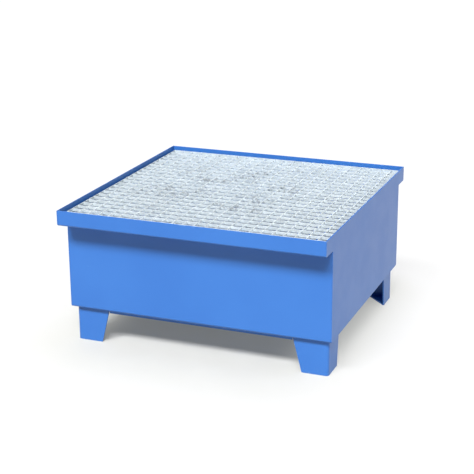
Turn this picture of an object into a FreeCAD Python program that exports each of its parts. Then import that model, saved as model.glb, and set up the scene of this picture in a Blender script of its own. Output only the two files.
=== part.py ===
import FreeCAD, Part
import os
import Sketcher

# Spill containment pallet: a welded steel sump on four feet, with a lift-out galvanised grating.
#
# Frame: the origin is on the floor at the centre of the footprint, +X to the right, +Y to the rear,
# +Z up. All sizes are in millimetres. The sump's front and rear walls, its bottom and the two
# ledges that carry the grating are one folded sheet; flat side plates close its two ends.

DIMENSIONS = [
    ("width", 815),              # overall, left to right
    ("depth", 815),              # overall, over the front and rear rims
    ("sheet_thickness", 3),      # tub sheet and side plates
    ("bend_radius", 3),          # inside radius of every fold in the tub sheet
    ("foot_height", 108),        # floor to the underside of the sump
    ("tank_height", 270),        # underside of the sump to the underside of the ledges
    ("rim_height", 46),          # underside of a ledge to the top of its rim
    ("ledge_width", 59),         # how far a rim stands out from its wall
    ("edge_rounding", 1.5),      # dressed weld along the outline of a side plate
    ("foot_plate", 4),           # thickness of a foot's bent plate
    ("foot_bend_radius", 6),     # inside radius of a foot's fold
    ("foot_side_inset", 12),     # side plate's outer face to the feet and base bars
    ("foot_front_inset", 15),    # front or rear wall's outer face to the feet and base bars
    ("front_flange_top", 108),   # width under the sump of the flange that faces front or rear
    ("side_flange_top", 94),     # width under the sump of the flange that faces the side
    ("flange_foot", 80),         # width of both flanges at the floor
    ("base_bar_height", 12),     # stiffening bars between the feet, as thick as the feet's plate
    ("sole_thickness", 4),       # triangular plate that closes a foot at the floor
    ("grating_size", 800),       # the grating is square
    ("grating_shift", 3),        # the loose grating rests near the right side plate
    ("mesh_count", 24),          # meshes along each side of the grating
    ("bar_height", 30),          # bearing bars and banding bars
    ("bar_thickness", 2),
    ("cross_bar_height", 8),     # cross bars, pressed flush into the bearing bars' top notches
    ("cross_bar_thickness", 2),
]

LEFT, RIGHT = -1, 1
FRONT, REAR = -1, 1
SIDES = {"left": LEFT, "right": RIGHT}
ENDS = {"front": FRONT, "rear": REAR}

TANK_HALF_DEPTH = "(dims.depth / 2 - dims.ledge_width)"
LEDGE_UNDERSIDE = "(dims.foot_height + dims.tank_height)"
LEDGE_TOP = "(dims.foot_height + dims.tank_height + dims.sheet_thickness)"
RIM_TOP = "(dims.foot_height + dims.tank_height + dims.rim_height)"
OUTER_BEND_RADIUS = "(dims.bend_radius + dims.sheet_thickness)"
BASE_HALF_WIDTH = "(dims.width / 2 - dims.foot_side_inset)"
BASE_HALF_DEPTH = f"({TANK_HALF_DEPTH} - dims.foot_front_inset)"
MESH_PITCH = "((dims.grating_size - dims.bar_thickness) / dims.mesh_count)"
CLEAR_WIDTH = "(dims.grating_size - 2 * dims.bar_thickness)"


# ---- document, sheet and small helpers ----

def make_sheet(doc):
    """Writes the driving dimensions as plain numbers with aliases."""
    sheet = doc.addObject("Spreadsheet::Sheet", "dims")
    for row, (alias, value) in enumerate(DIMENSIONS, start=1):
        sheet.set(f"A{row}", alias)
        sheet.set(f"B{row}", str(value))
        sheet.setAlias(f"B{row}", alias)
    doc.recompute()
    return sheet


def origin_plane(body, role):
    """Finds one of a body's own origin planes by its role."""
    for feature in body.Origin.OriginFeatures:
        if feature.Role == role:
            return feature
    raise ValueError(f"{body.Name} has no {role}")


def new_body(doc, name):
    """Adds a PartDesign body whose label names its file."""
    body = doc.addObject("PartDesign::Body", name)
    body.Label = name
    return body


def place(part, **coordinates):
    """Binds coordinates of a placement, such as x or z, to expressions."""
    for axis, expression in coordinates.items():
        part.setExpression(f"Placement.Base.{axis}", expression)


def outline_sketch(body, name, role, corners):
    """Draws a closed outline of straight lines, each corner placed by a pair of expressions."""
    sketch = body.newObject("Sketcher::SketchObject", name)
    sketch.AttachmentSupport = (origin_plane(body, role), [""])
    sketch.MapMode = "FlatFace"
    count = len(corners)
    turn = FreeCAD.Rotation(FreeCAD.Vector(0, 0, 1), 360 / count)
    start = FreeCAD.Vector(100, 0, 0)
    for index in range(count):
        end = turn.multVec(start)
        sketch.addGeometry(Part.LineSegment(start, end), False)
        start = end
    for index in range(count):
        sketch.addConstraint(Sketcher.Constraint("Coincident", index, 2, (index + 1) % count, 1))
    for index, corner in enumerate(corners):
        for kind, expression in zip(("DistanceX", "DistanceY"), corner):
            number = sketch.addConstraint(Sketcher.Constraint(kind, -1, 1, index, 1, 1.0))
            label = f"{kind}_{index}"
            sketch.renameConstraint(number, label)
            sketch.setExpression(f"Constraints.{label}", expression)
    return sketch


def pad(body, name, sketch, length):
    """Extrudes a sketch along its normal."""
    feature = body.newObject("PartDesign::Pad", name)
    feature.Profile = sketch
    feature.setExpression("Length", length)
    return feature


def fillet(body, name, base, edges, radius):
    """Rounds the named edges of a body's last feature."""
    feature = body.newObject("PartDesign::Fillet", name)
    feature.Base = (base, edges)
    feature.setExpression("Radius", radius)
    return feature


def edges_through(shape, points):
    """Names the straight edges that pass through the given points."""
    names = []
    for number, edge in enumerate(shape.Edges, start=1):
        if any(edge.distToShape(Part.Vertex(point))[0] < 0.01 for point in points):
            names.append(f"Edge{number}")
    return names


def bar(doc, name, length, width, height):
    """A straight flat bar, its sizes along X, Y and Z bound to expressions."""
    box = doc.addObject("Part::Box", name)
    box.Label = name
    box.setExpression("Length", length)
    box.setExpression("Width", width)
    box.setExpression("Height", height)
    return box


# ---- sump: folded tub sheet and two side plates ----

def sump_outline():
    """Corners of the sump's section: rims and ledges above, the narrower tank below."""
    rim = "dims.depth / 2"
    return [
        (f"-{TANK_HALF_DEPTH}", "dims.foot_height"),
        (TANK_HALF_DEPTH, "dims.foot_height"),
        (TANK_HALF_DEPTH, LEDGE_UNDERSIDE),
        (rim, LEDGE_UNDERSIDE),
        (rim, RIM_TOP),
        (f"-{rim}", RIM_TOP),
        (f"-{rim}", LEDGE_UNDERSIDE),
        (f"-{TANK_HALF_DEPTH}", LEDGE_UNDERSIDE),
    ]


def sump_section(doc, sheet, body, length):
    """Extrudes the sump's section along X and rounds its folds, as a solid block."""
    profile = outline_sketch(body, f"{body.Name}_outline", "YZ_Plane", sump_outline())
    block = pad(body, f"{body.Name}_block", profile, length)
    doc.recompute()
    middle = block.Shape.BoundBox.XLength / 2
    rim = sheet.get("depth") / 2
    tank = rim - sheet.get("ledge_width")
    floor = sheet.get("foot_height")
    ledge = floor + sheet.get("tank_height")
    outer = [(end * tank, floor) for end in (FRONT, REAR)] + [(end * rim, ledge) for end in (FRONT, REAR)]
    inner = [(end * tank, ledge) for end in (FRONT, REAR)]
    outer_edges = edges_through(block.Shape, [FreeCAD.Vector(middle, y, z) for y, z in outer])
    folds = fillet(body, f"{body.Name}_outer_folds", block, outer_edges, OUTER_BEND_RADIUS)
    doc.recompute()
    inner_edges = edges_through(folds.Shape, [FreeCAD.Vector(middle, y, z) for y, z in inner])
    section = fillet(body, f"{body.Name}_inner_folds", folds, inner_edges, "dims.bend_radius")
    doc.recompute()
    return section


def tub_sheet(doc, sheet):
    """Folded sheet: bottom, front and rear walls, ledges and rims, open at the top and both ends."""
    body = new_body(doc, "tub_sheet")
    block = sump_section(doc, sheet, body, "dims.width - 2 * dims.sheet_thickness")
    box = block.Shape.BoundBox
    open_faces = []
    for number, face in enumerate(block.Shape.Faces, start=1):
        centre = face.CenterOfMass
        at_end = min(abs(centre.x - box.XMin), abs(centre.x - box.XMax)) < 0.01
        if at_end or abs(centre.z - box.ZMax) < 0.01:
            open_faces.append(f"Face{number}")
    shell = body.newObject("PartDesign::Thickness", "tub_sheet_shell")
    shell.Base = (block, open_faces)
    shell.setExpression("Value", "dims.sheet_thickness")
    shell.Reversed = True
    shell.Mode = "Skin"
    shell.Join = "Arc"
    place(body, x="dims.sheet_thickness - dims.width / 2")
    return body


def side_plate(doc, sheet, name, side):
    """Flat plate that closes one end of the tub sheet, with its outer outline dressed round.

    Both plates are made as the left one, outer face at x = 0, and the right one is turned about.
    """
    body = new_body(doc, name)
    plate = sump_section(doc, sheet, body, "dims.sheet_thickness")
    outline = []
    for number, edge in enumerate(plate.Shape.Edges, start=1):
        if edge.BoundBox.XMax < 0.01:
            outline.append(f"Edge{number}")
    fillet(body, f"{name}_dressed_weld", plate, outline, "dims.edge_rounding")
    turn = 180 if side == RIGHT else 0
    body.Placement = FreeCAD.Placement(FreeCAD.Vector(), FreeCAD.Rotation(FreeCAD.Vector(0, 0, 1), turn))
    place(body, x=f"{side} * dims.width / 2")
    return body


# ---- feet and base bars ----

def foot_corner(side, end):
    """Outer corner of a foot, where its two outer faces would meet."""
    x = f"{side} * {BASE_HALF_WIDTH}"
    y = f"{end} * {BASE_HALF_DEPTH}"
    return x, y


def foot(doc, sheet, name, side, end):
    """Bent L-shaped plate under one corner, both flanges narrowing towards the floor."""
    body = new_body(doc, name)
    inward_x = -side
    inward_y = -end
    corners = [
        ("0", "0"),
        (f"{inward_x} * dims.front_flange_top", "0"),
        (f"{inward_x} * dims.front_flange_top", f"{inward_y} * dims.foot_plate"),
        (f"{inward_x} * dims.foot_plate", f"{inward_y} * dims.foot_plate"),
        (f"{inward_x} * dims.foot_plate", f"{inward_y} * dims.side_flange_top"),
        ("0", f"{inward_y} * dims.side_flange_top"),
    ]
    profile = outline_sketch(body, f"{name}_plan", "XY_Plane", corners)
    angle = pad(body, f"{name}_angle", profile, "dims.foot_height")
    doc.recompute()
    mid_height = sheet.get("foot_height") / 2
    plate = sheet.get("foot_plate")
    outer = [FreeCAD.Vector(0, 0, mid_height)]
    inner = [FreeCAD.Vector(inward_x * plate, inward_y * plate, mid_height)]
    outer_radius = "dims.foot_bend_radius + dims.foot_plate"
    outer_fold = fillet(body, f"{name}_outer_fold", angle, edges_through(angle.Shape, outer), outer_radius)
    doc.recompute()
    inner_edges = edges_through(outer_fold.Shape, inner)
    fillet(body, f"{name}_inner_fold", outer_fold, inner_edges, "dims.foot_bend_radius")
    doc.recompute()
    taper(doc, body, f"{name}_front_taper", "XZ_Plane", inward_x, "dims.front_flange_top")
    taper(doc, body, f"{name}_side_taper", "YZ_Plane", inward_y, "dims.side_flange_top")
    corner_x, corner_y = foot_corner(side, end)
    place(body, x=corner_x, y=corner_y)
    return body


def taper(doc, body, name, role, inward, width_at_top):
    """Cuts the slanted inner edge of one flange, right through the plate."""
    corners = [
        (f"{inward} * dims.flange_foot", "0"),
        (f"{inward} * {width_at_top}", "dims.foot_height"),
        (f"{inward} * 2 * {width_at_top}", "dims.foot_height"),
        (f"{inward} * 2 * {width_at_top}", "0"),
    ]
    before = body.Tip.Shape.Volume
    profile = outline_sketch(body, f"{name}_outline", role, corners)
    cut = body.newObject("PartDesign::Pocket", name)
    cut.Profile = profile
    cut.Type = "ThroughAll"
    cut.Midplane = True
    doc.recompute()
    if not cut.Shape.Volume < before:
        raise ValueError(f"{name} cut nothing")


def foot_sole(doc, sheet, name, side, end):
    """Triangular plate between a foot's two flanges, level with the floor."""
    body = new_body(doc, name)
    inward_x = -side
    inward_y = -end
    corners = [
        (f"{inward_x} * dims.foot_plate", f"{inward_y} * dims.foot_plate"),
        (f"{inward_x} * dims.flange_foot", f"{inward_y} * dims.foot_plate"),
        (f"{inward_x} * dims.foot_plate", f"{inward_y} * dims.flange_foot"),
    ]
    profile = outline_sketch(body, f"{name}_plan", "XY_Plane", corners)
    plate = pad(body, f"{name}_plate", profile, "dims.sole_thickness")
    doc.recompute()
    foot_plate = sheet.get("foot_plate")
    mid_height = sheet.get("sole_thickness") / 2
    inner = [FreeCAD.Vector(inward_x * foot_plate, inward_y * foot_plate, mid_height)]
    fillet(body, f"{name}_corner", plate, edges_through(plate.Shape, inner), "dims.foot_bend_radius")
    corner_x, corner_y = foot_corner(side, end)
    place(body, x=corner_x, y=corner_y)
    return body


def base_bars(doc):
    """Four narrow bars under the sump's outline, each between two feet and in line with them."""
    bars = []
    level = "dims.foot_height - dims.base_bar_height"
    for name, end in ENDS.items():
        half_length = f"({BASE_HALF_WIDTH} - dims.front_flange_top)"
        base = bar(doc, f"base_bar_{name}", f"2 * {half_length}", "dims.foot_plate", "dims.base_bar_height")
        middle = f"{end} * ({BASE_HALF_DEPTH} - dims.foot_plate / 2)"
        place(base, x=f"-{half_length}", y=f"{middle} - dims.foot_plate / 2", z=level)
        bars.append(base)
    for name, side in SIDES.items():
        half_length = f"({BASE_HALF_DEPTH} - dims.side_flange_top)"
        base = bar(doc, f"base_bar_{name}", "dims.foot_plate", f"2 * {half_length}", "dims.base_bar_height")
        middle = f"{side} * ({BASE_HALF_WIDTH} - dims.foot_plate / 2)"
        place(base, x=f"{middle} - dims.foot_plate / 2", y=f"-{half_length}", z=level)
        bars.append(base)
    return bars


# ---- grating ----

def banding_bars(doc):
    """Four edge bars: front and rear run the full width, left and right fit between them."""
    bars = []
    for name, end in ENDS.items():
        band = bar(doc, f"banding_bar_{name}", "dims.grating_size", "dims.bar_thickness", "dims.bar_height")
        middle = f"{end} * (dims.grating_size - dims.bar_thickness) / 2 - dims.bar_thickness / 2"
        place(band, x="dims.grating_shift - dims.grating_size / 2", y=middle, z=LEDGE_TOP)
        bars.append(band)
    for name, side in SIDES.items():
        band = bar(doc, f"banding_bar_{name}", "dims.bar_thickness", CLEAR_WIDTH, "dims.bar_height")
        middle = f"{side} * (dims.grating_size - dims.bar_thickness) / 2 - dims.bar_thickness / 2"
        place(band, x=f"dims.grating_shift + {middle}", y=f"-{CLEAR_WIDTH} / 2", z=LEDGE_TOP)
        bars.append(band)
    return bars


def cross_bars(doc, sheet):
    """Cross bars, left to right, with their top edges level with the bearing bars."""
    rows = []
    for number in range(1, int(sheet.get("mesh_count"))):
        name = f"cross_bar_{number:02d}"
        row = bar(doc, name, CLEAR_WIDTH, "dims.cross_bar_thickness", "dims.cross_bar_height")
        middle = f"({number} - dims.mesh_count / 2) * {MESH_PITCH}"
        place(
            row,
            x=f"dims.grating_shift - {CLEAR_WIDTH} / 2",
            y=f"{middle} - dims.cross_bar_thickness / 2",
            z=f"{LEDGE_TOP} + dims.bar_height - dims.cross_bar_height",
        )
        rows.append(row)
    group = doc.addObject("Part::Compound", "cross_bars")
    group.Label = "cross_bars"
    group.Links = rows
    return group


def bearing_bars(doc, sheet, rows):
    """Bearing bars, front to rear, each notched from above where the cross bars press in."""
    bars = []
    for number in range(1, int(sheet.get("mesh_count"))):
        name = f"bearing_bar_{number:02d}"
        blank = bar(doc, f"{name}_blank", "dims.bar_thickness", CLEAR_WIDTH, "dims.bar_height")
        middle = f"({number} - dims.mesh_count / 2) * {MESH_PITCH}"
        place(
            blank,
            x=f"dims.grating_shift + {middle} - dims.bar_thickness / 2",
            y=f"-{CLEAR_WIDTH} / 2",
            z=LEDGE_TOP,
        )
        notched = doc.addObject("Part::Cut", name)
        notched.Label = name
        notched.Base = blank
        notched.Tool = rows
        bars.append(notched)
    return bars


# ---- assembly, checks and files ----

def check(doc, parts):
    """Stops if any object failed or any sub-part has no valid shape."""
    for item in doc.Objects:
        if "Invalid" in item.State or "Error" in item.State:
            raise ValueError(f"{item.Name} failed: {item.State}")
    for part in parts:
        if part.Shape.isNull() or not part.Shape.isValid():
            raise ValueError(f"{part.Label} has no valid shape")


def write_parts(parts):
    """Writes one STEP file per sub-part, named after its label."""
    os.makedirs("parts", exist_ok=True)
    for part in parts:
        part.Shape.exportStep(f"parts/{part.Label}.step")


def main():
    doc = FreeCAD.newDocument("spill_pallet")
    sheet = make_sheet(doc)
    parts = [tub_sheet(doc, sheet)]
    for side_name, side in SIDES.items():
        parts.append(side_plate(doc, sheet, f"side_plate_{side_name}", side))
    for end_name, end in ENDS.items():
        for side_name, side in SIDES.items():
            parts.append(foot(doc, sheet, f"foot_{end_name}_{side_name}", side, end))
            parts.append(foot_sole(doc, sheet, f"foot_sole_{end_name}_{side_name}", side, end))
    parts.extend(base_bars(doc))
    parts.extend(banding_bars(doc))
    rows = cross_bars(doc, sheet)
    parts.append(rows)
    parts.extend(bearing_bars(doc, sheet, rows))
    doc.recompute()
    check(doc, parts)
    write_parts(parts)


main()
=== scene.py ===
import math
import random

import bmesh
import bpy
from mathutils import Matrix, Vector


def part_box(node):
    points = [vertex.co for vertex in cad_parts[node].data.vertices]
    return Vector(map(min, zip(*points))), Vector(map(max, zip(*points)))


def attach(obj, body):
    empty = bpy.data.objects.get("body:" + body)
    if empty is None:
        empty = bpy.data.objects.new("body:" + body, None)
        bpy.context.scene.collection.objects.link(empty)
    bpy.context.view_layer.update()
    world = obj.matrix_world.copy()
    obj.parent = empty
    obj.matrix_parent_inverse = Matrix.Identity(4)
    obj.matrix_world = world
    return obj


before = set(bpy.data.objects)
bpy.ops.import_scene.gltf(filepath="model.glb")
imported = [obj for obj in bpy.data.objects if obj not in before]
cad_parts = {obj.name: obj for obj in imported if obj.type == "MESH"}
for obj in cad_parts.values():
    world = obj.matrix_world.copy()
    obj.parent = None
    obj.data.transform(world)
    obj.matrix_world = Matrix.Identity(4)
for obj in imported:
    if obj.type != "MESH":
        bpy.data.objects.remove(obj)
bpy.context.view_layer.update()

# A spill containment pallet: a blue powder-coated steel sump with a galvanised grating lying in it.
# Every CAD piece keeps its shape. This script gives the pieces their coats and softened edges, adds
# the weld seams, and sets up the studio. Lengths are in metres.

BEARING_BARS = sorted(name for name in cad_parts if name.startswith("bearing_bar"))
FRAME_BARS = [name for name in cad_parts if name.startswith(("banding_bar", "cross_bars"))]
SUMP_NODES = [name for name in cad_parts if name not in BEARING_BARS + FRAME_BARS]
SIDES = ("left", "right")
ENDS = ("front", "rear")

RIM_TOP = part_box("tub_sheet")[1].z
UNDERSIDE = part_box("tub_sheet")[0].z
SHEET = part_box("side_plate_left")[1].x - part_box("side_plate_left")[0].x
FOOT_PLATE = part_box("foot_sole_front_left")[0].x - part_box("foot_front_left")[0].x
FOOT_FOLD = 0.010         # outside radius of a foot's fold
LEDGE_WIDTH = 0.059       # from a rim's outer face to the tank's wall below it
TANK_HEIGHT = 0.270       # from the sump's underside to its ledges
CROSS_BAR_HEIGHT = 0.008

# Softened edges: the radius that the coat gives them on the sump and on the grating, the angle past
# which an edge is sharp, and the distance at which two points count as one.
SUMP_EDGE = 0.0005
GRATING_EDGE = 0.0003
SHARP_ANGLE = math.radians(40.0)
SAME_POINT = 0.00001

# Weld beads: the radius of the sump's and of the grating's, and the length of one ripple.
SUMP_BEAD = 0.0022
GRATING_BEAD = 0.0013
RIPPLE = 0.0028
RIPPLE_RINGS = 4
RIPPLE_SWELL = 0.10       # how much a ripple swells the bead, as a share of its radius
UNEVENNESS = 0.05         # how much each ring differs at random, as a share of its radius
BEAD_SIDES = 8
STITCH = 0.030            # length of one of the short welds along a base bar
TACK_TOP = 0.012          # from a bearing bar's top down to its end tacks
TACK_BOTTOM = 0.022
TACK_HALF = 0.004         # half the length of a tack under a cross bar's end

STUDIO_RADIUS = 20.0
STUDIO_HEIGHT = 16.0
STUDIO_SIDES = 96

# The floor's painted shadow, a grey pool under the object: its middle, its half sizes, and how far it
# takes to fade out past them. Then how strongly the floor's painted glow, which lifts its shadows,
# shines in the pool and far from it.
SHADE_POOL_MIDDLE = (-0.05, -0.01, 0.0)
SHADE_POOL_HALF = (0.225, 0.32, 0.0)
SHADE_POOL_FADE = (0.38, 0.34, 1.0)
SHADE_POOL_GLOW = 0.155
FAR_PAINTED_GLOW = 0.76

# The zinc: its crystals, the grey of the film that drums leave on its tops, which is also painted shade
# on the lit tops, the grey of the dirt that drums leave on it, and how far from the grating's middle
# the dirt reaches.
SPANGLES_PER_METRE = 95.0
FILM_AND_TOP_SHADE_GREY = (0.48, 0.53, 0.55)
DIRT_GREY = (0.20, 0.215, 0.23)
DIRT_REACH = 0.40

NO_VECTOR = (0.0, 0.0, 0.0)


# ---- shader helpers ----

def add_node(tree, kind, inputs=None, **settings):
    """Adds a shader node. Each input is a plain value, or another node's output to link."""
    new = tree.nodes.new(kind)
    for key, value in settings.items():
        setattr(new, key, value)
    for key, value in (inputs or {}).items():
        if isinstance(value, bpy.types.NodeSocket):
            tree.links.new(value, new.inputs[key])
        else:
            new.inputs[key].default_value = value
    return new


def new_material(name):
    """A material with an empty node tree, its shader and its output."""
    material = bpy.data.materials.new(name)
    material.use_nodes = True
    tree = material.node_tree
    tree.nodes.clear()
    shader = add_node(tree, "ShaderNodeBsdfPrincipled")
    add_node(tree, "ShaderNodeOutputMaterial", {"Surface": shader.outputs["BSDF"]})
    return material, tree, shader


def noise(tree, position, scale, detail=2.0, roughness=0.5, distortion=0.0):
    """Noise of about 1 / scale metres, from 0 to 1."""
    inputs = {
        "Vector": position,
        "Scale": scale,
        "Detail": detail,
        "Roughness": roughness,
        "Distortion": distortion,
    }
    return add_node(tree, "ShaderNodeTexNoise", inputs).outputs["Fac"]


def remap(tree, value, low, high, new_low=0.0, new_high=1.0):
    """Maps low..high smoothly to new_low..new_high, and stays there outside it."""
    inputs = {
        "Value": value,
        "From Min": low,
        "From Max": high,
        "To Min": new_low,
        "To Max": new_high,
    }
    return add_node(tree, "ShaderNodeMapRange", inputs, interpolation_type="SMOOTHSTEP").outputs["Result"]


def combine(tree, operation, first, second):
    """Combines two values by a named operation."""
    return add_node(tree, "ShaderNodeMath", {0: first, 1: second}, operation=operation).outputs["Value"]


def product(tree, first, second):
    """Multiplies two values."""
    return combine(tree, "MULTIPLY", first, second)


def vector_maths(tree, operation, first, second=NO_VECTOR):
    """Combines two vectors by a named operation. Some operations use the first one alone."""
    return add_node(tree, "ShaderNodeVectorMath", {0: first, 1: second}, operation=operation)


def blend_colours(tree, factor, first, second):
    """Mixes two colours by a factor."""
    mix = add_node(tree, "ShaderNodeMix", {"Factor": factor}, data_type="RGBA")
    for socket, colour in zip((mix.inputs[6], mix.inputs[7]), (first, second)):
        if isinstance(colour, bpy.types.NodeSocket):
            tree.links.new(colour, socket)
        else:
            socket.default_value = (*colour, 1.0)
    return mix.outputs[2]


def bump(tree, height, distance, strength=1.0, normal=None):
    """Bumps a surface by a height field, on top of an earlier bump if one is given."""
    inputs = {"Height": height, "Distance": distance, "Strength": strength}
    if normal is not None:
        inputs["Normal"] = normal
    return add_node(tree, "ShaderNodeBump", inputs).outputs["Normal"]


def stretched(tree, position, scale, turn):
    """Turns and scales a position, for marks that run one way."""
    inputs = {"Vector": position, "Scale": scale, "Rotation": turn}
    return add_node(tree, "ShaderNodeMapping", inputs).outputs["Vector"]


# ---- materials ----

def powder_coat():
    """Blue polyester powder coat: orange peel, slightly wavy sheet, rubbed rims and scuffed feet."""
    material, tree, shader = new_material("blue_powder_coat")
    position = add_node(tree, "ShaderNodeTexCoord").outputs["Object"]
    height = add_node(tree, "ShaderNodeSeparateXYZ", {"Vector": position}).outputs["Z"]

    tone = remap(tree, noise(tree, position, 3.0, 3.0), 0.3, 0.7)
    colour = blend_colours(tree, tone, (0.0240, 0.1180, 0.391), (0.0285, 0.1305, 0.414))

    # The rims are rubbed by drums, and the feet by the floor and by forks.
    rim = remap(tree, height, RIM_TOP - 0.004, RIM_TOP - 0.0005)
    foot = remap(tree, height, 0.022, 0.001)
    rub_noise = remap(tree, noise(tree, position, 55.0, 5.0, 0.65), 0.56, 0.70)
    rubbed = product(tree, combine(tree, "MAXIMUM", rim, foot), rub_noise)
    colour = blend_colours(tree, product(tree, rubbed, 0.55), colour, (0.16, 0.27, 0.46))

    # Fine handling scratches, in patches.
    streaks = noise(tree, stretched(tree, position, (35.0, 900.0, 700.0), (0.3, 0.5, 0.2)), 1.0, 2.0)
    patches = remap(tree, noise(tree, position, 6.0, 2.0), 0.54, 0.68)
    scratches = product(tree, remap(tree, streaks, 0.70, 0.78), patches)
    colour = blend_colours(tree, product(tree, scratches, 0.30), colour, (0.14, 0.26, 0.50))

    tree.links.new(colour, shader.inputs["Base Color"])
    shine = remap(tree, noise(tree, position, 14.0, 4.0), 0.3, 0.7, 0.33, 0.37)
    worn = combine(tree, "ADD", shine, product(tree, rubbed, 0.25))
    tree.links.new(worn, shader.inputs["Roughness"])

    wave = bump(tree, noise(tree, position, 3.2, 0.0), 0.0010, 0.15)
    peel = bump(tree, noise(tree, position, 380.0, 2.0), 0.00022, 0.45, wave)
    nicks = bump(tree, scratches, 0.00005, 0.4, peel)
    tree.links.new(nicks, shader.inputs["Normal"])
    shader.inputs["IOR"].default_value = 1.42
    return material


def galvanised(name, bare, bloomed):
    """Hot-dip zinc: faint spangle crystals, matt bloom, and tops greyed by a drum film and by painted
    shade.
    """
    material, tree, shader = new_material(name)
    position = add_node(tree, "ShaderNodeTexCoord").outputs["Object"]

    spangle = {"Vector": position, "Scale": SPANGLES_PER_METRE, "Randomness": 1.0}
    crystals = add_node(tree, "ShaderNodeTexVoronoi", spangle)
    parts = add_node(tree, "ShaderNodeSeparateColor", {"Color": crystals.outputs["Color"]})
    crystal = parts.outputs["Red"]
    cloud = remap(tree, noise(tree, position, 22.0, 4.0, 0.6), 0.40, 0.70)
    whiteness = combine(tree, "ADD", product(tree, crystal, 0.5), product(tree, cloud, 0.5))
    colour = blend_colours(tree, whiteness, bare, bloomed)

    # Drums slide over the tops of the bars and leave a grey film, in streaks and patches. This grey on
    # upward faces is also painted shade, dimming the tops where the light falls most.
    facing = add_node(tree, "ShaderNodeNewGeometry").outputs["Normal"]
    steepness = add_node(tree, "ShaderNodeSeparateXYZ", {"Vector": facing}).outputs["Z"]
    upward = remap(tree, steepness, 0.6, 0.95)
    film_and_top_shade = remap(tree, noise(tree, position, 9.0, 6.0, 0.65, 1.0), 0.42, 0.66, 0.70, 0.97)
    colour = blend_colours(tree, product(tree, upward, film_and_top_shade), colour, FILM_AND_TOP_SHADE_GREY)

    # Dirt from drums sticks in dark specks, in a few patches away from the grating's edges.
    flat = vector_maths(tree, "MULTIPLY", position, (1.0, 1.0, 0.0)).outputs["Vector"]
    from_middle = vector_maths(tree, "LENGTH", flat).outputs["Value"]
    inside = remap(tree, from_middle, DIRT_REACH, DIRT_REACH / 2)
    patches = product(tree, inside, remap(tree, noise(tree, position, 7.5, 2.0), 0.47, 0.58))
    specks = remap(tree, noise(tree, position, 75.0, 4.0, 0.75), 0.52, 0.60)
    dirt = product(tree, product(tree, patches, specks), 0.7)
    colour = blend_colours(tree, dirt, colour, DIRT_GREY)
    tree.links.new(colour, shader.inputs["Base Color"])

    dull = remap(tree, crystal, 0.0, 1.0, 0.42, 0.60)
    tree.links.new(dull, shader.inputs["Roughness"])
    shader.inputs["Metallic"].default_value = 0.2
    grain = bump(tree, noise(tree, position, 700.0, 3.0), 0.00008, 0.35)
    facets = bump(tree, crystals.outputs["Distance"], 0.0004, 0.25, grain)
    tree.links.new(facets, shader.inputs["Normal"])
    return material


def studio_floor():
    """A pale floor with painted light and shade: a painted glow lifts its shadows, and is weaker in a
    soft pool under the object, which is a painted shadow.
    """
    material, tree, shader = new_material("studio_floor")
    position = add_node(tree, "ShaderNodeTexCoord").outputs["Object"]
    outside = position
    for operation, value in (
        ("SUBTRACT", SHADE_POOL_MIDDLE),
        ("ABSOLUTE", NO_VECTOR),
        ("SUBTRACT", SHADE_POOL_HALF),
        ("MAXIMUM", NO_VECTOR),
        ("DIVIDE", SHADE_POOL_FADE),
    ):
        outside = vector_maths(tree, operation, outside, value).outputs["Vector"]
    distance = vector_maths(tree, "LENGTH", outside).outputs["Value"]
    far = remap(tree, distance, 0.0, 1.0)
    mottling = noise(tree, position, 9.0, 4.0)
    grey = blend_colours(tree, mottling, (0.36, 0.36, 0.35), (0.40, 0.40, 0.39))
    colour = blend_colours(tree, far, grey, (0.13, 0.13, 0.13))
    # The glow is painted light: it lifts the floor's shadows, most far from the object, and is a little
    # warm in the pool.
    glow = remap(tree, distance, 0.0, 1.0, SHADE_POOL_GLOW, FAR_PAINTED_GLOW)
    glow_colour = blend_colours(tree, far, (1.0, 1.0, 0.88), (1.0, 1.0, 1.0))
    tree.links.new(colour, shader.inputs["Base Color"])
    tree.links.new(glow, shader.inputs["Emission Strength"])
    tree.links.new(glow_colour, shader.inputs["Emission Color"])
    shader.inputs["Roughness"].default_value = 0.7
    shader.inputs["Specular IOR Level"].default_value = 0.2
    return material


def white_wall():
    """Glowing white. The far floor is this white too, with the light that falls on it."""
    material, _, shader = new_material("white_wall")
    shader.inputs["Base Color"].default_value = (0.0, 0.0, 0.0, 1.0)
    shader.inputs["Emission Color"].default_value = (1.0, 1.0, 1.0, 1.0)
    shader.inputs["Emission Strength"].default_value = 1.0
    return material


# ---- CAD pieces ----

def coat(names, material, edge):
    """Gives CAD nodes their material, and rounds their sharp edges a little as the coat does."""
    for name in names:
        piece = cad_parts[name]
        piece.data.materials.clear()
        piece.data.materials.append(material)
        soften(piece, edge)


def soften(piece, edge):
    """Rounds a piece's sharp edges to a radius, and keeps its flat faces looking flat."""
    piece.data.shade_smooth()
    weld = piece.modifiers.new("weld", "WELD")
    weld.merge_threshold = SAME_POINT
    bevel = piece.modifiers.new("edges", "BEVEL")
    bevel.width = edge
    bevel.segments = 2
    bevel.limit_method = "ANGLE"
    bevel.angle_limit = SHARP_ANGLE
    normals = piece.modifiers.new("normals", "WEIGHTED_NORMAL")
    normals.keep_sharp = False


# ---- weld seams ----

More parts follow.
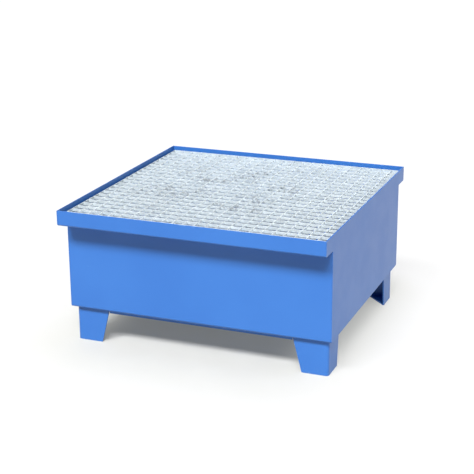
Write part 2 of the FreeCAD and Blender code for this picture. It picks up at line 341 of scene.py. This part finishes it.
def add_bead(mesh, draw, start, end, radius):
    """One straight run of weld: a rippled round bead with domed ends."""
    length = (end - start).length
    along = (end - start).normalized()
    side = along.orthogonal().normalized()
    up = along.cross(side)
    count = RIPPLE_RINGS * max(2, round(length / RIPPLE))
    rings = []
    for step in range(1, count):
        reach = length * step / count
        to_end = min(reach, length - reach, radius)
        dome = math.sqrt(1 - (1 - to_end / radius) ** 2)
        swell = RIPPLE_SWELL * math.cos(2 * math.pi * step / RIPPLE_RINGS)
        ripple = 1 + swell + draw.uniform(-UNEVENNESS, UNEVENNESS)
        ring = []
        for corner in range(BEAD_SIDES):
            turn = 2 * math.pi * corner / BEAD_SIDES
            outward = side * math.cos(turn) + up * math.sin(turn)
            ring.append(mesh.verts.new(start + along * reach + outward * radius * dome * ripple))
        rings.append(ring)
    for first, second in zip(rings, rings[1:]):
        for corner in range(BEAD_SIDES):
            after = (corner + 1) % BEAD_SIDES
            mesh.faces.new((first[corner], first[after], second[after], second[corner]))
    for ring, tip in ((rings[0], start), (rings[-1], end)):
        pole = mesh.verts.new(tip)
        for corner in range(BEAD_SIDES):
            mesh.faces.new((ring[corner], ring[(corner + 1) % BEAD_SIDES], pole))


def add_welds(name, runs, radius, body, material):
    """Makes one object of several weld runs, each a pair of end points."""
    draw = random.Random(name)
    mesh = bmesh.new()
    for start, end in runs:
        add_bead(mesh, draw, Vector(start), Vector(end), radius)
    bmesh.ops.recalc_face_normals(mesh, faces=mesh.faces)
    data = bpy.data.meshes.new(name)
    mesh.to_mesh(data)
    mesh.free()
    data.shade_smooth()
    data.materials.append(material)
    welds = bpy.data.objects.new(name, data)
    bpy.context.scene.collection.objects.link(welds)
    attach(welds, body)


def add_sump_welds(name, runs):
    """Welds that are painted over with the sump."""
    add_welds(name, runs, SUMP_BEAD, "sump", PAINT)


def tank_runs(side):
    """Seams inside the tank, where its bottom and walls meet a side plate."""
    low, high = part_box("side_plate_%s" % side)
    plane = high.x if side == "left" else low.x
    wall = high.y - LEDGE_WIDTH - SHEET
    bottom = UNDERSIDE + SHEET
    top = UNDERSIDE + TANK_HEIGHT
    fold = 2 * SUMP_BEAD
    runs = [((plane, fold - wall, bottom), (plane, wall - fold, bottom))]
    for y in (-wall, wall):
        runs.append(((plane, y, bottom + fold), (plane, y, top)))
    return runs


def foot_runs(end, side):
    """Seams of one foot: to the sump's underside outside, and to its sole inside."""
    low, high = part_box("foot_%s_%s" % (end, side))
    sole_low, sole_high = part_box("foot_sole_%s_%s" % (end, side))
    outer_x, inner_x = (low.x, high.x) if side == "left" else (high.x, low.x)
    outer_y, inner_y = (low.y, high.y) if end == "front" else (high.y, low.y)
    to_x = math.copysign(1.0, inner_x - outer_x)
    to_y = math.copysign(1.0, inner_y - outer_y)
    face_x = outer_x + to_x * FOOT_PLATE
    face_y = outer_y + to_y * FOOT_PLATE
    fold_x = outer_x + to_x * FOOT_FOLD
    fold_y = outer_y + to_y * FOOT_FOLD
    sole_x = (sole_high.x if side == "left" else sole_low.x) - to_x * FOOT_PLATE
    sole_y = (sole_high.y if end == "front" else sole_low.y) - to_y * FOOT_PLATE
    return [
        ((fold_x, outer_y, high.z), (inner_x, outer_y, high.z)),
        ((outer_x, fold_y, high.z), (outer_x, inner_y, high.z)),
        ((fold_x, face_y, sole_high.z), (sole_x, face_y, sole_high.z)),
        ((face_x, fold_y, sole_high.z), (face_x, sole_y, sole_high.z)),
    ]


def base_bar_runs(place):
    """Short welds along the outer top edge of a base bar, at its middle and near its ends."""
    low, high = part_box("base_bar_%s" % place)
    runs = []
    for share in (0.1, 0.5, 0.9):
        if place in ENDS:
            y = low.y if place == "front" else high.y
            x = low.x + share * (high.x - low.x)
            runs.append(((x - STITCH / 2, y, high.z), (x + STITCH / 2, y, high.z)))
        else:
            x = low.x if place == "left" else high.x
            y = low.y + share * (high.y - low.y)
            runs.append(((x, y - STITCH / 2, high.z), (x, y + STITCH / 2, high.z)))
    return runs


def grating_runs():
    """Tacks inside the banding bars: down each bearing bar's ends and under each cross bar's ends."""
    runs = []
    centre = sum(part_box("banding_bar_front"), Vector()) / 2
    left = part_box("banding_bar_left")[1].x
    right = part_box("banding_bar_right")[0].x
    for name in BEARING_BARS:
        low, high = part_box(name)
        for y in (low.y, high.y):
            runs.append(((high.x, y, high.z - TACK_BOTTOM), (high.x, y, high.z - TACK_TOP)))
        row = (low.x + high.x) / 2 - centre.x
        level = high.z - CROSS_BAR_HEIGHT
        for x in (left, right):
            runs.append(((x, row - TACK_HALF, level), (x, row + TACK_HALF, level)))
    return runs


# ---- studio ----

def add_floor(material):
    """A round floor wide enough to fill every view from above."""
    mesh = bmesh.new()
    bmesh.ops.create_circle(mesh, cap_ends=True, segments=STUDIO_SIDES, radius=STUDIO_RADIUS)
    add_stage_piece("floor", mesh, material)


def add_wall(material):
    """A wall all round the floor, for low views. Only the camera sees it, and it gives no light."""
    mesh = bmesh.new()
    bmesh.ops.create_cone(
        mesh, segments=STUDIO_SIDES, radius1=STUDIO_RADIUS, radius2=STUDIO_RADIUS, depth=STUDIO_HEIGHT
    )
    bmesh.ops.reverse_faces(mesh, faces=mesh.faces)
    wall = add_stage_piece("wall", mesh, material)
    wall.visible_diffuse = False
    wall.visible_glossy = False
    wall.visible_transmission = False
    wall.visible_shadow = False


def add_stage_piece(name, mesh, material):
    """Makes an object of a mesh that isn't part of the pallet."""
    data = bpy.data.meshes.new(name)
    mesh.to_mesh(data)
    mesh.free()
    data.materials.append(material)
    piece = bpy.data.objects.new(name, data)
    bpy.context.scene.collection.objects.link(piece)
    return piece


def direction(azimuth, elevation):
    """Unit vector from the object towards a place; azimuth 0 is the front and 90 the right."""
    turn = math.radians(azimuth)
    rise = math.radians(elevation)
    return Vector((math.sin(turn) * math.cos(rise), -math.cos(turn) * math.cos(rise), math.sin(rise)))


def add_sun(name, back, irradiance, spread):
    """A far soft light in the direction back. Its irradiance is what white facing it shows."""
    light = bpy.data.lights.new(name, "SUN")
    light.energy = irradiance * math.pi
    light.angle = math.radians(spread)
    lamp = bpy.data.objects.new(name, light)
    lamp.rotation_euler = back.to_track_quat("Z", "Y").to_euler()
    bpy.context.scene.collection.objects.link(lamp)


def add_key(count, reach, elevation, irradiance, spread):
    """A strip light above the front, along X, made of suns. It blurs shadows more along X than across."""
    height = math.tan(math.radians(elevation))
    for index in range(count):
        across = reach * (2 * index / (count - 1) - 1)
        back = Vector((across, -1.0, height)).normalized()
        add_sun("key_%d" % (index + 1), back, irradiance / count, spread)


def add_world(strength):
    """Even white light from all round."""
    world = bpy.data.worlds.new("studio")
    world.use_nodes = True
    background = world.node_tree.nodes["Background"]
    background.inputs["Color"].default_value = (1.0, 1.0, 1.0, 1.0)
    background.inputs["Strength"].default_value = strength
    bpy.context.scene.world = world


def add_camera():
    """A long lens, a little to the right of the front and looking down."""
    back = direction(azimuth=21.74, elevation=18.23)
    target = Vector((-0.0106, 0.0, 0.2636))
    distance = 3.905
    roll = math.radians(-0.45)
    lens = bpy.data.cameras.new("camera")
    lens.lens = 95.98
    lens.sensor_width = 36.0
    camera = bpy.data.objects.new("camera", lens)
    camera.location = target + back * distance
    aim = back.to_track_quat("Z", "Y").to_matrix() @ Matrix.Rotation(roll, 3, "Z")
    camera.rotation_euler = aim.to_euler()
    bpy.context.scene.collection.objects.link(camera)
    bpy.context.scene.camera = camera


PAINT = powder_coat()
# The bearing bars get a paler copy of the frame bars' zinc: painted light that lifts their sides, which
# lie in shade deep in the cells.
BEARING_ZINC_WITH_PAINTED_LIGHT = galvanised(
    "galvanised_bearing_bars", bare=(0.74, 0.80, 0.82), bloomed=(0.88, 0.925, 0.935)
)
FRAME_ZINC = galvanised(
    "galvanised_frame_bars", bare=(0.46, 0.52, 0.545), bloomed=(0.59, 0.65, 0.67)
)
coat(SUMP_NODES, PAINT, SUMP_EDGE)
coat(BEARING_BARS, BEARING_ZINC_WITH_PAINTED_LIGHT, GRATING_EDGE)
coat(FRAME_BARS, FRAME_ZINC, GRATING_EDGE)
for side in SIDES:
    add_sump_welds("tank_weld_%s" % side, tank_runs(side))
    for end in ENDS:
        add_sump_welds("foot_weld_%s_%s" % (end, side), foot_runs(end, side))
for place in ENDS + SIDES:
    add_sump_welds("base_bar_weld_%s" % place, base_bar_runs(place))
add_welds("grating_tacks", grating_runs(), GRATING_BEAD, "grating", FRAME_ZINC)
add_floor(studio_floor())
add_wall(white_wall())
add_key(count=7, reach=0.5, elevation=51.5, irradiance=2.12, spread=14.0)
add_sun("right_fill", direction(azimuth=90.0, elevation=25.0), irradiance=0.33, spread=60.0)
add_sun("rear_fill", direction(azimuth=200.0, elevation=30.0), irradiance=0.2, spread=60.0)
add_sun("overhead", direction(azimuth=0.0, elevation=90.0), irradiance=0.22, spread=90.0)
add_world(strength=0.02)
add_camera()
bpy.context.scene.view_settings.view_transform = "Standard"
